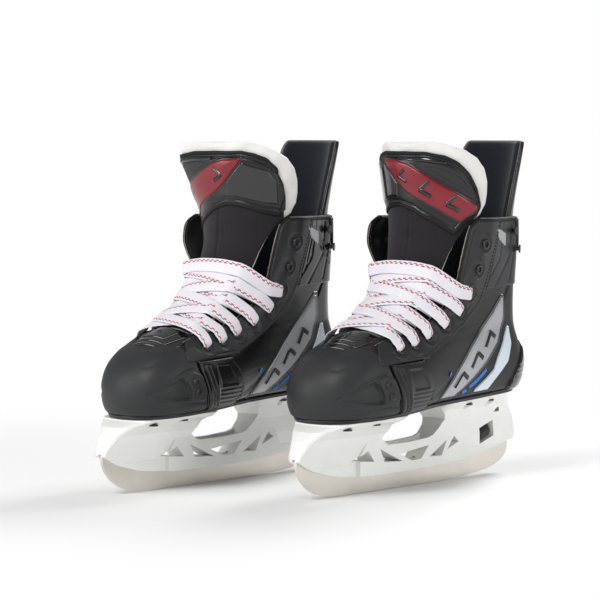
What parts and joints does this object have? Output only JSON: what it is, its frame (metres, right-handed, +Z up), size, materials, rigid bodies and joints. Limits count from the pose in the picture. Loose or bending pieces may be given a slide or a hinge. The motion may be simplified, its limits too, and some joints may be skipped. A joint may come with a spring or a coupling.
{
  "type": "ice hockey skates",
  "caption": "Pair of ice hockey skates: lace-up boots with felt tongues, tendon guards, white blade holders and steel runners held by a thumb-dial lock.",
  "frame": {"origin": "on the ice under the centre of the pair's bounding box", "axes": "+Z up; toes point to -Y and heels to +Y; +X is the wearer's left, so the left skate is at +X"},
  "size_m": [0.2524, 0.3696, 0.299],
  "materials": {
    "outsole": "moulded composite",
    "boot_shell": "dark satin composite",
    "toe_cap": "fine pebble texture",
    "bumper": "ribbed",
    "facing": "embossed, stitched",
    "eyelet": "black",
    "heel_counter": "gloss",
    "heel_band": "pale",
    "ankle_panel": "satin",
    "liner": "brushed lining",
    "midsole": "board",
    "footbed": "foam with cloth top",
    "vamp_tab": "gloss",
    "tongue_felt": "felt with black face",
    "tongue_plate": "moulded guard",
    "badge": "metallic red",
    "guard_base": "satin",
    "tendon_guard": "satin",
    "rivet": "black",
    "lace": "flat woven",
    "holder": "white satin",
    "steel": "ground steel",
    "dial": "ribbed",
    "hook": "machined"
  },
  "bodies": {
    "left_boot": {"left_outsole": "outsole", "left_quarter_shell": "boot_shell", "left_toe_cap": "toe_cap", "left_side_bumpers": "bumper", "left_facing_lateral": "facing", "left_facing_medial": "facing", "left_eyelets": "eyelet", "left_heel_counter": "heel_counter", "left_heel_band": "heel_band", "left_ankle_panel": "ankle_panel", "left_ankle_liner": "liner", "left_midsole_board": "midsole", "left_footbed": "footbed", "left_vamp_tab": "vamp_tab", "left_tongue_lower": "tongue_felt", "left_guard_base": "guard_base", "left_guard_rivets": "rivet", "left_lace": "lace", "left_blade_holder": "holder", "left_holder_rivets": "rivet", "left_lock_washers": "hook"},
    "left_tongue_top": {"left_tongue_upper": "tongue_felt", "left_tongue_plate": "tongue_plate", "left_tongue_badge": "badge"},
    "left_guard": {"left_tendon_guard": "tendon_guard", "left_guard_pad": "liner"},
    "left_dial": {"left_lock_dial": "dial"},
    "left_hook": {"left_lock_hook": "hook"},
    "left_runner": {"left_runner": "steel"},
    "right_boot": {"right_outsole": "outsole", "right_quarter_shell": "boot_shell", "right_toe_cap": "toe_cap", "right_side_bumpers": "bumper", "right_facing_lateral": "facing", "right_facing_medial": "facing", "right_eyelets": "eyelet", "right_heel_counter": "heel_counter", "right_heel_band": "heel_band", "right_ankle_panel": "ankle_panel", "right_ankle_liner": "liner", "right_midsole_board": "midsole", "right_footbed": "footbed", "right_vamp_tab": "vamp_tab", "right_tongue_lower": "tongue_felt", "right_guard_base": "guard_base", "right_guard_rivets": "rivet", "right_lace": "lace", "right_blade_holder": "holder", "right_holder_rivets": "rivet", "right_lock_washers": "hook"},
    "right_tongue_top": {"right_tongue_upper": "tongue_felt", "right_tongue_plate": "tongue_plate", "right_tongue_badge": "badge"},
    "right_guard": {"right_tendon_guard": "tendon_guard", "right_guard_pad": "liner"},
    "right_dial": {"right_lock_dial": "dial"},
    "right_hook": {"right_lock_hook": "hook"},
    "right_runner": {"right_runner": "steel"}
  },
  "joints": [
    {"name": "left_tongue_flex", "type": "hinge", "parent": "left_boot", "child": "left_tongue_top", "pos_m": [0.073, 0.044, 0.205], "axis": [1, 0, 0], "range_deg": [0, 25]},
    {"name": "left_guard_flex", "type": "hinge", "parent": "left_boot", "child": "left_guard", "pos_m": [0.073, 0.1655, 0.2292], "axis": [-1, 0, 0], "range_deg": [0, 18]},
    {"name": "left_dial_turn", "type": "hinge", "parent": "left_boot", "child": "left_dial", "pos_m": [0.073, 0.143, 0.039], "axis": [0, 0.9397, 0.342], "range_deg": [0, 720.2]},
    {"name": "left_hook_travel", "type": "slide", "parent": "left_boot", "child": "left_hook", "axis": [0, -0.9397, -0.342], "range_m": [0, 0.00601]},
    {"name": "left_runner_drop", "type": "hinge", "parent": "left_boot", "child": "left_runner", "pos_m": [0.073, -0.086, 0.037], "axis": [-1, 0, 0], "range_deg": [0, 1.6]},
    {"name": "right_tongue_flex", "type": "hinge", "parent": "right_boot", "child": "right_tongue_top", "pos_m": [-0.073, -0.038, 0.205], "axis": [1, 0, 0], "range_deg": [0, 25]},
    {"name": "right_guard_flex", "type": "hinge", "parent": "right_boot", "child": "right_guard", "pos_m": [-0.073, 0.0835, 0.2292], "axis": [-1, 0, 0], "range_deg": [0, 18]},
    {"name": "right_dial_turn", "type": "hinge", "parent": "right_boot", "child": "right_dial", "pos_m": [-0.073, 0.061, 0.039], "axis": [0, 0.9397, 0.342], "range_deg": [0, 720.2]},
    {"name": "right_hook_travel", "type": "slide", "parent": "right_boot", "child": "right_hook", "axis": [0, -0.9397, -0.342], "range_m": [0, 0.00601]},
    {"name": "right_runner_drop", "type": "hinge", "parent": "right_boot", "child": "right_runner", "pos_m": [-0.073, -0.168, 0.037], "axis": [-1, 0, 0], "range_deg": [0, 1.6]},
    {"name": "right_skate_apart", "type": "slide", "parent": "left_boot", "child": "right_boot", "axis": [-1, 0, 0], "range_m": [0, 0.12]}
  ],
  "couplings": [
    {"joint": "left_hook_travel", "follows": "left_runner_drop", "m_per_rad": 0.21486},
    {"joint": "left_dial_turn", "follows": "left_runner_drop", "ratio": 450},
    {"joint": "right_hook_travel", "follows": "right_runner_drop", "m_per_rad": 0.21486},
    {"joint": "right_dial_turn", "follows": "right_runner_drop", "ratio": 450}
  ]
}
